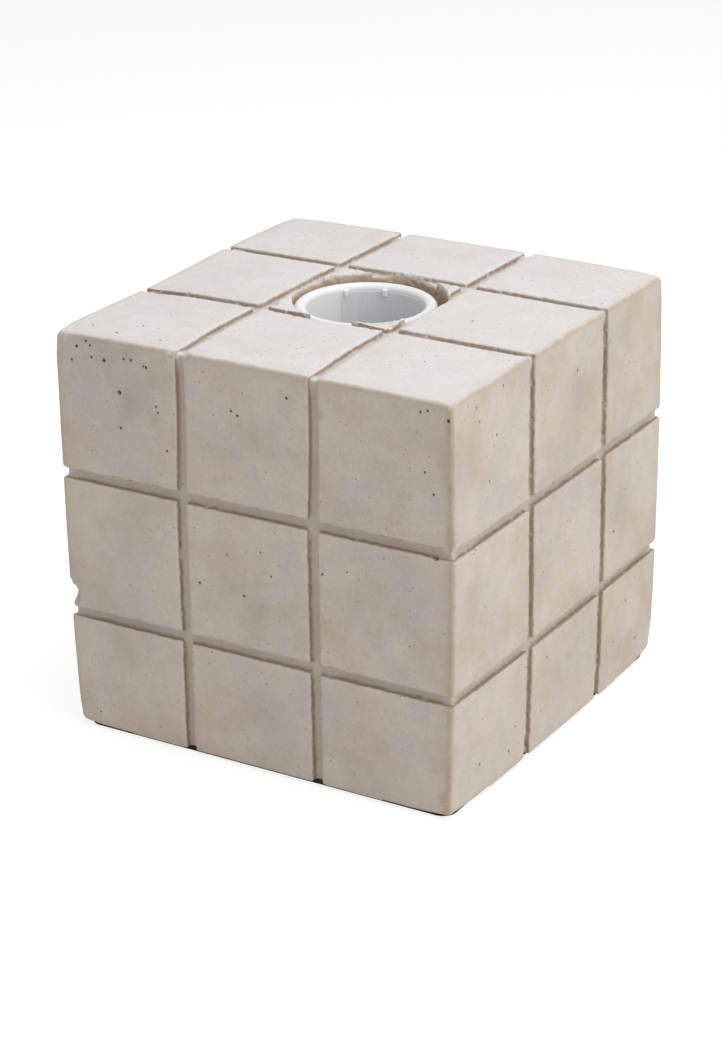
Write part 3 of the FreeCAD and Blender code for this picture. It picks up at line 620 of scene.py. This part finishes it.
def spread(source, low, high, toLow, toHigh):
    return addNode(tree, "MapRange", {"Value": source, "From Min": low, "From Max": high,
                                      "To Min": toLow, "To Max": toHigh}).outputs[0]


def product(first, second):
    return addNode(tree, "Math", {0: first, 1: second}, operation="MULTIPLY").outputs[0]


# clouds 30 mm across, stains of 20 mm, mottling of 6 mm, sand grains under 1 mm
cloud = addNode(tree, "TexNoise", {"Vector": place, "Scale": 34.0, "Detail": 4.0,
                                   "Roughness": 0.6}).outputs["Fac"]
stain = addNode(tree, "TexNoise", {"Vector": place, "Scale": 52.0, "Detail": 5.0, "Roughness": 0.62,
                                   "W": 3.0}, noise_dimensions="4D").outputs["Fac"]
mottle = addNode(tree, "TexNoise", {"Vector": place, "Scale": 165.0, "Detail": 5.0,
                                    "Roughness": 0.65}).outputs["Fac"]
sand = addNode(tree, "TexNoise", {"Vector": place, "Scale": 1500.0, "Detail": 2.0}).outputs["Fac"]
skinTone = blend(shares["topFace"], toLinear("#D4C9BD"), toLinear("#E2DDDB"))
sideShare = spread(shares["topFace"], 0.0, 1.0, 1.0, 0.3)
# bluish grey clouds, then ochre stains, on the sides more than on top
coolTint, warmTint = (0.90, 0.925, 0.955, 1), (0.93, 0.875, 0.80, 1)
skinTone = blend(product(spread(cloud, 0.44, 0.64, 0.0, 1.0), sideShare), skinTone,
                 blend(1.0, skinTone, coolTint, "MULTIPLY"))
skinTone = blend(product(spread(stain, 0.46, 0.64, 0.0, 0.95), sideShare), skinTone,
                 blend(1.0, skinTone, warmTint, "MULTIPLY"))
skinTone = blend(1.0, skinTone, spread(mottle, 0.3, 0.7, 0.955, 1.035), "MULTIPLY")
skinTone = blend(1.0, skinTone, spread(sand, 0.3, 0.7, 0.95, 1.04), "MULTIPLY")
# brown specks 0.4 mm across, thick in some places and missing in others, and soft grey spots of 2 mm
speck = addNode(tree, "TexVoronoi", {"Vector": place, "Scale": 420.0, "Randomness": 1.0}).outputs["Distance"]
speckShare = product(spread(speck, 0.07, 0.15, 1.0, 0.0), spread(mottle, 0.47, 0.57, 0.0, 0.8))
skinTone = blend(speckShare, skinTone, toLinear("#8C7A66"))
spot = addNode(tree, "TexVoronoi", {"Vector": place, "Scale": 62.0, "Randomness": 1.0}).outputs["Distance"]
spotShare = product(spread(spot, 0.04, 0.13, 1.0, 0.0), spread(stain, 0.42, 0.50, 0.4, 0.0))
skinTone = blend(product(spotShare, sideShare), skinTone, toLinear("#98928E"))
# tan along the worn edges
edgeShare = product(shares["wornEdge"], spread(mottle, 0.35, 0.6, 0.3, 0.8))
skinTone = blend(edgeShare, skinTone, toLinear("#B29E84"))
# the overlays lay damp patches and fresh breaks on the skin, and painted shade in the groove walls and
# floors, the recess and the air holes
for name, (cover, colour) in overlays.items():
    skinTone = blend(product(shares[name], cover), skinTone, toLinear(colour))
tree.links.new(skinTone, shader.inputs["Base Color"])
bumpSand = addNode(tree, "Bump", {"Height": sand, "Strength": 0.3, "Distance": 0.15 * mm})
bumpMottle = addNode(tree, "Bump", {"Height": mottle, "Strength": 0.3, "Distance": 0.4 * mm,
                                    "Normal": bumpSand.outputs[0]})
tree.links.new(bumpMottle.outputs[0], shader.inputs["Normal"])
block.data.materials.clear()
block.data.materials.append(castConcrete)
for face in block.data.polygons:
    face.material_index = 0
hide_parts("concrete_block")
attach(block, "lamp")
print("concrete block done")


# ---- lampholder shell

holder = {
    "axis": (-1.9, 2.7), "rim": 115.9, "outside": 20.0, "inside": 16.5, "rimRound": 1.6,
    "neckTop": 83.9, "neckFoot": 75.9, "neckOutside": 17.8,
    "lugs": (101.7, 140.6, 281.7, 320.6),                   # degrees around the axis
    "lugWidth": 1.4, "lugDepth": 0.8, "lugLength": 2.2, "lugTop": 114.7, "lugThick": 1.8, "lugRound": 0.25,
    "sides": 128,
}


def scaled(outline):
    return [(r * mm, z * mm) for r, z in outline]


h = holder
axis = (h["axis"][0] * mm, h["axis"][1] * mm)
skirt = turnOutline("lampholderShell", axis, scaled(
    [(h["inside"], h["neckFoot"]), (h["neckOutside"], h["neckFoot"]), (h["neckOutside"], h["neckTop"]),
     (h["outside"], h["neckTop"])]
    + quarterRound(h["outside"], h["rim"], h["rimRound"], 1)
    + list(reversed(quarterRound(h["inside"], h["rim"], h["rimRound"], -1)))), h["sides"])
for angle in h["lugs"]:
    turned = math.radians(angle)
    middle = (h["inside"] - h["lugDepth"] + h["lugThick"] / 2) * mm
    bpy.ops.object.select_all(action="DESELECT")
    bpy.ops.mesh.primitive_cube_add(
        size=1, location=(axis[0] + middle * math.cos(turned), axis[1] + middle * math.sin(turned),
                          (h["lugTop"] - h["lugLength"] / 2) * mm),
        rotation=(0, 0, turned), scale=(h["lugThick"] * mm, h["lugWidth"] * mm, h["lugLength"] * mm))
    lug = bpy.context.active_object
    applyPlace(lug)
    applyModifier(lug, "BEVEL", width=h["lugRound"] * mm, segments=3)
    applyModifier(skirt, "BOOLEAN", operation="UNION", object=lug, solver="EXACT")
    bpy.data.objects.remove(lug)
smoothByAngle(skirt)

# thermoset plastic, compression moulded: white, smooth and slightly glossy
mouldedWhite, tree, shader = newMaterial("thermosetMouldedWhite", Roughness=0.38)
shader.inputs["Base Color"].default_value = toLinear("#EFEFF1")
place = addNode(tree, "TexCoord").outputs["Object"]
dull = addNode(tree, "TexNoise", {"Vector": place, "Scale": 240.0, "Detail": 3.0})
dullShare = addNode(tree, "MapRange", {"Value": dull.outputs["Fac"], "To Min": 0.30, "To Max": 0.48})
tree.links.new(dullShare.outputs[0], shader.inputs["Roughness"])
skirt.data.materials.append(mouldedWhite)
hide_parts("holder_skirt")
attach(skirt, "lamp")
print("lampholder shell done")


# ---- screw shell with its rolled thread

screwShell = {
    "hole": 7.6, "floor": 79.0, "floorRadius": 10.6, "wallFoot": 82.3, "edge": 100.5,   # mm, as the CAD shell
    "outside": 13.55, "sheet": 0.3, "sides": 96, "rings": 48,
    "pitch": 3.62, "threadDepth": 1.0, "threadFrom": 83.4, "threadTo": 99.4, "threadBeyond": 12.5,
}


# rolls a right hand thread into a round form's wall: its rings move inwards with height and angle
def rollThread(piece, values):
    longFade, shortFade = 0.8, 0.4
    points = pointsOf(piece)
    x, y = points[:, 0] - axis[0], points[:, 1] - axis[1]
    height, away = points[:, 2] / mm, np.hypot(x, y) / mm
    turns = height / values["pitch"] - np.arctan2(y, x) / (2 * math.pi)
    depth = values["threadDepth"] * 0.5 * (1 - np.cos(2 * math.pi * turns))
    depth *= ramp(height, values["threadFrom"] - longFade, values["threadFrom"] + shortFade)
    depth *= 1 - ramp(height, values["threadTo"] - shortFade, values["threadTo"] + longFade)
    share = np.where(away > values["threadBeyond"], 1 - depth / np.maximum(away, 1), 1.0)
    points[:, 0] = axis[0] + x * share
    points[:, 1] = axis[1] + y * share
    movePoints(piece, points)


v = screwShell
wall = [v["wallFoot"] + (v["edge"] - v["wallFoot"]) * i / v["rings"] for i in range(v["rings"] + 1)]
shell = turnOutline("screwShellRolled", axis, scaled(
    [(v["hole"], v["floor"]), (v["floorRadius"], v["floor"])] + [(v["outside"], z) for z in wall]
    + [(v["outside"] - v["sheet"], z) for z in reversed(wall)]
    + [(v["floorRadius"] - v["sheet"] / 2, v["floor"] + v["sheet"]),
       (v["hole"], v["floor"] + v["sheet"])]), v["sides"])
rollThread(shell, v)
smoothByAngle(shell)
print("screw shell done")


# ---- threaded tube

tubeThread = {
    "outside": 5.0, "inside": 3.6, "sides": 48,
    "pitch": 1.0, "threadDepth": 0.45, "threadBeyond": 4.5, "ringsPerTurn": 6, "plainEnd": 0.6,
}
v = tubeThread
tubeEnds = [vertex.co.z / mm for vertex in nodes["threaded_tube"].data.vertices]
foot, head = min(tubeEnds), max(tubeEnds)
v["threadFrom"], v["threadTo"] = foot + v["plainEnd"], head - v["plainEnd"]
rings = int((head - foot) / v["pitch"] * v["ringsPerTurn"])
levels = [foot + (head - foot) * i / rings for i in range(rings + 1)]
tube = turnOutline("threadedTubeRolled", axis, scaled(
    [(v["inside"], foot)] + [(v["outside"], z) for z in levels] + [(v["inside"], head)]), v["sides"])
rollThread(tube, v)
smoothByAngle(tube)
print("tube done")


# ---- small pieces with rounded edges

# node: (piece, slot, material, rounding in mm)
smallPieces = {
    "base_pad": ("foamPad", "pad_foam", "foamRubberBlack", 0.3),
    "holder_cap": ("lampholderCap", "holder_plastic", "thermosetMouldedIvory", 0.5),
    "contact_carrier": ("contactInsert", "carrier_ceramic", "porcelainGlazed", 0.35),
    "shell_rivets": ("shellRivetsDomed", "brass", "brassNickelPlated", 0.3),
    "contact_rivet": ("contactRivetDomed", "brass", "brassTurned", 0.3),
    "centre_contact": ("contactStrip", "spring_bronze", "phosphorBronzeRolled", 0.12),
    "live_terminal": ("liveTerminalBlock", "brass", "brassMilled", 0.3),
    "neutral_terminal": ("neutralTerminalBlock", "brass", "brassMilled", 0.3),
    "terminal_screws": ("clampingScrews", "zinc_steel", "steelZincPlated", 0.15),
    "cap_lock_screw": ("capGrubScrew", "zinc_steel", "steelZincPlated", 0.12),
    "seat_washer": ("fibreSeatWasher", "fibre", "vulcanFibrePunched", 0.12),
    "flat_washer": ("steelWasher", "zinc_steel", "steelZincPlated", 0.2),
    "spring_washer": ("splitWasher", "zinc_steel", "steelZincPlated", 0.2),
    "hex_nut": ("hexagonNut", "zinc_steel", "steelZincPlated", 0.15),
    "tube_bush": ("edgeGuardBush", "bush_plastic", "nylonMouldedBlack", 0.2),
    "cable_grommet": ("cableGrommetMoulded", "grommet_rubber", "rubberMouldedBlack", 0.3),
}
padSpread, padTop = (1.013, 1.018), 1.02                    # share of the width and depth, mm
dressed = {}
for nodeName, (pieceName, slotName, materialName, rounding) in smallPieces.items():
    dressed[nodeName] = (roundedCopy(nodeName, pieceName, rounding), slotName, materialName)
dressed["screw_shell"] = (shell, "plated_shell", "steelNickelPlated")
dressed["threaded_tube"] = (tube, "zinc_steel", "steelZincPlated")

# the foam is squeezed by the block's weight, so the block's foot comes down on it
pad = dressed["base_pad"][0]
points = pointsOf(pad)
points *= (*padSpread, padTop * mm / points[:, 2].max())
movePoints(pad, points)

# each: colour, second colour, roughness from and to, metallic, pattern in mm, its stretch, relief in mm
finishes = {
    # foam sheet: dull black with cells you can just make out
    "foamRubberBlack": ("#33363B", "#1F2124", 0.85, 0.97, 0.0, 0.6, (1, 1, 1), 0.10),
    # moulded ivory plastic: faint flow clouds, soft gloss
    "thermosetMouldedIvory": ("#E9E5DB", "#DDD8CB", 0.35, 0.52, 0.0, 6.0, (1, 1, 0.4), 0.01),
    # glazed porcelain: warm white, glassy, slightly uneven glaze
    "porcelainGlazed": ("#ECEAE3", "#E0DCD1", 0.14, 0.3, 0.0, 3.5, (1, 1, 1), 0.02),
    # nickel plated sheet: drawing lines around the shell
    "steelNickelPlated": ("#CBC8C1", "#ADA79C", 0.22, 0.4, 1.0, 0.35, (0.15, 0.15, 1), 0.006),
    # nickel plated brass: a little yellow shows through
    "brassNickelPlated": ("#CCC7B8", "#B5AA8C", 0.22, 0.38, 1.0, 0.8, (1, 1, 1), 0.006),
    # turned brass: fine rings from the tool
    "brassTurned": ("#CDAB62", "#AE8A48", 0.22, 0.36, 1.0, 0.2, (0.3, 0.3, 1), 0.006),
    # milled brass: straight cutter marks and some tarnish
    "brassMilled": ("#C7A65F", "#9E7F48", 0.28, 0.5, 1.0, 0.3, (1, 0.12, 1), 0.01),
    # rolled bronze strip: copper red, rolling lines along the strip
    "phosphorBronzeRolled": ("#C4905E", "#A3714A", 0.22, 0.4, 1.0, 0.3, (0.1, 1, 1), 0.006),
    # zinc plated steel: bluish, crystalline dull spots
    "steelZincPlated": ("#BFC3C8", "#A2A7AE", 0.28, 0.48, 1.0, 0.9, (1, 1, 1), 0.01),
    # vulcanised fibre: brick red, layered on its cut edge
    "vulcanFibrePunched": ("#9A4D3C", "#7E3B2E", 0.7, 0.9, 0.0, 0.3, (0.4, 0.4, 2.0), 0.03),
    # moulded nylon: black with a faint grain
    "nylonMouldedBlack": ("#1E1F21", "#2A2B2D", 0.4, 0.58, 0.0, 0.5, (1, 1, 1), 0.02),
    # moulded rubber: black, chalky bloom in patches
    "rubberMouldedBlack": ("#25262A", "#36373A", 0.55, 0.8, 0.0, 1.4, (1, 1, 1), 0.03),
    # satin foil paper: pale grey, faint upright streaks
    "foilLabelSatinSilver": ("#E8E8EC", "#E1E2E8", 0.3, 0.45, 0.0, 0.6, (1, 1, 0.08), 0.002),
}
# roughness changes over patches of about 8 mm
patchScale = 120.0
materials = {}
for materialName, (colour, shade, smooth, rough, metal, grainSize, stretch, relief) in finishes.items():
    material, tree, shader = newMaterial(materialName, Metallic=metal)
    place = addNode(tree, "TexCoord").outputs["Object"]
    stretched = addNode(tree, "Mapping", {"Vector": place, "Scale": stretch})
    pattern = addNode(tree, "TexNoise", {"Vector": stretched.outputs[0], "Scale": 1 / (grainSize * mm),
                                         "Detail": 3.0, "Roughness": 0.6})
    patches = addNode(tree, "TexNoise", {"Vector": place, "Scale": patchScale, "Detail": 3.0})
    share = addNode(tree, "MapRange", {"Value": pattern.outputs["Fac"], "From Min": 0.35, "From Max": 0.65})
    tone = addNode(tree, "Mix", {0: share.outputs[0], 6: toLinear(colour), 7: toLinear(shade)},
                   data_type="RGBA")
    dull = addNode(tree, "MapRange", {"Value": patches.outputs["Fac"], "From Min": 0.3, "From Max": 0.7,
                                      "To Min": smooth, "To Max": rough})
    bump = addNode(tree, "Bump", {"Height": pattern.outputs["Fac"], "Strength": 0.5, "Distance": relief * mm})
    tree.links.new(tone.outputs[2], shader.inputs["Base Color"])
    tree.links.new(dull.outputs[0], shader.inputs["Roughness"])
    tree.links.new(bump.outputs[0], shader.inputs["Normal"])
    materials[materialName] = material
for nodeName, (piece, slotName, materialName) in dressed.items():
    piece.data.materials.clear()
    piece.data.materials.append(materials[materialName])
    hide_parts(nodeName)
    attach(piece, "contact" if nodeName == "centre_contact" else "lamp")
label = nodes["rating_label"]
label.data.materials.clear()
label.data.materials.append(materials["foilLabelSatinSilver"])
print("small pieces dressed,", len(dressed), "of them")

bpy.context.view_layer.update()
